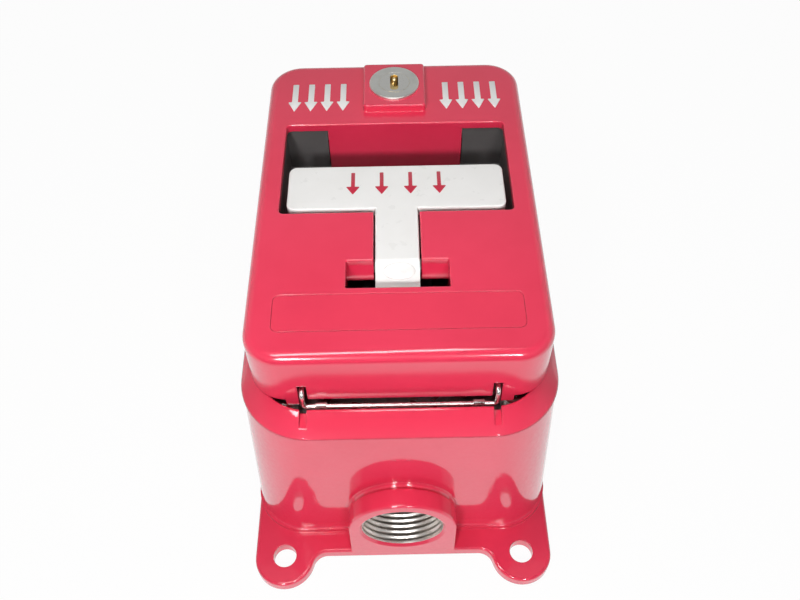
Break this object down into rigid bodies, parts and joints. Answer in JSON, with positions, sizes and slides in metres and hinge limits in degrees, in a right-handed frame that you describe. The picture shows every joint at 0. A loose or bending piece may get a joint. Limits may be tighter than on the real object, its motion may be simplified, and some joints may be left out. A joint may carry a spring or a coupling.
{
  "type": "manual call point",
  "caption": "Manual fire call point: T-shaped pull handle in a hinged, key-locked red cover, on a deep cast back box with a threaded conduit hub and four feet.",
  "frame": {"origin": "on the back face of the box, which goes against the wall, under the centre of the cover", "axes": "+Z out of the wall through the cover's face, +Y towards the lock end (up when on a wall), +X to the right"},
  "size_m": [0.0932, 0.1778, 0.0889],
  "materials": {
    "cast_red": "glossy red enamel on cast aluminium",
    "cover_red": "glossy red enamel",
    "panel_red": "gloss",
    "black_rubber": "matt",
    "zinc_plate": "zinc plated sheet",
    "zinc_screw": "zinc plated",
    "green_screw": "green finish",
    "brass_bright": "bright",
    "bright_wire": "bright drawn wire",
    "spring_steel": "spring steel",
    "black_moulding": "matt black",
    "switch_black": "satin black",
    "button_red": "gloss",
    "terminal_grey": "satin",
    "lead_red": "insulated lead",
    "lead_black": "insulated lead",
    "handle_white": "gloss white",
    "lock_nickel": "satin nickel",
    "lock_brass": "bright"
  },
  "bodies": {
    "root": {"back_box": "cast_red", "rim_gasket": "black_rubber", "mounting_plate": "zinc_plate", "mounting_screws": "zinc_screw", "ground_screw": "green_screw", "ground_washer": "brass_bright"},
    "cover": {"front_cover": "cover_red", "name_panel": "panel_red", "hinge_wire": "bright_wire", "mechanism_carrier": "black_moulding", "carrier_screws": "zinc_screw", "pivot_pin": "bright_wire", "pin_clips": "spring_steel", "detent_spring": "spring_steel", "detent_screw": "zinc_screw", "switch_body": "switch_black", "switch_screws": "zinc_screw", "switch_tags": "brass_bright", "terminal_block": "terminal_grey", "terminal_screws": "zinc_screw", "lead_wire_left": "lead_red", "lead_wire_right": "lead_black", "lock_barrel": "lock_nickel", "lock_nut": "brass_bright"},
    "lock": {"lock_plug": "lock_brass", "lock_cam": "zinc_plate", "cam_screw": "zinc_screw"},
    "handle": {"pull_handle": "handle_white"},
    "switch_lever": {"switch_lever": "spring_steel"},
    "switch_button": {"switch_button": "button_red"}
  },
  "joints": [
    {"name": "cover_hinge", "type": "hinge", "parent": "root", "child": "cover", "pos_m": [0, -0.0618, 0.0652], "axis": [1, 0, 0], "range_deg": [0, 90]},
    {"name": "lock_turn", "type": "hinge", "parent": "cover", "child": "lock", "pos_m": [0, 0.0458, 0.0881], "axis": [0, 0, 1], "range_deg": [0, 90]},
    {"name": "handle_pull", "type": "hinge", "parent": "cover", "child": "handle", "pos_m": [0, -0.0335, 0.077], "axis": [1, 0, 0], "range_deg": [0, 45]},
    {"name": "switch_lever_turn", "type": "hinge", "parent": "cover", "child": "switch_lever", "pos_m": [-0.009, -0.02704, 0.0705], "axis": [0, 0, 1], "range_deg": [0, 6]},
    {"name": "switch_button_press", "type": "slide", "parent": "cover", "child": "switch_button", "axis": [0, 1, 0], "range_m": [0, 0.0006]}
  ],
  "couplings": [
    {"joint": "switch_lever_turn", "follows": "handle_pull", "ratio": 0.12444},
    {"joint": "switch_button_press", "follows": "handle_pull", "m_per_rad": 0.00070028}
  ]
}
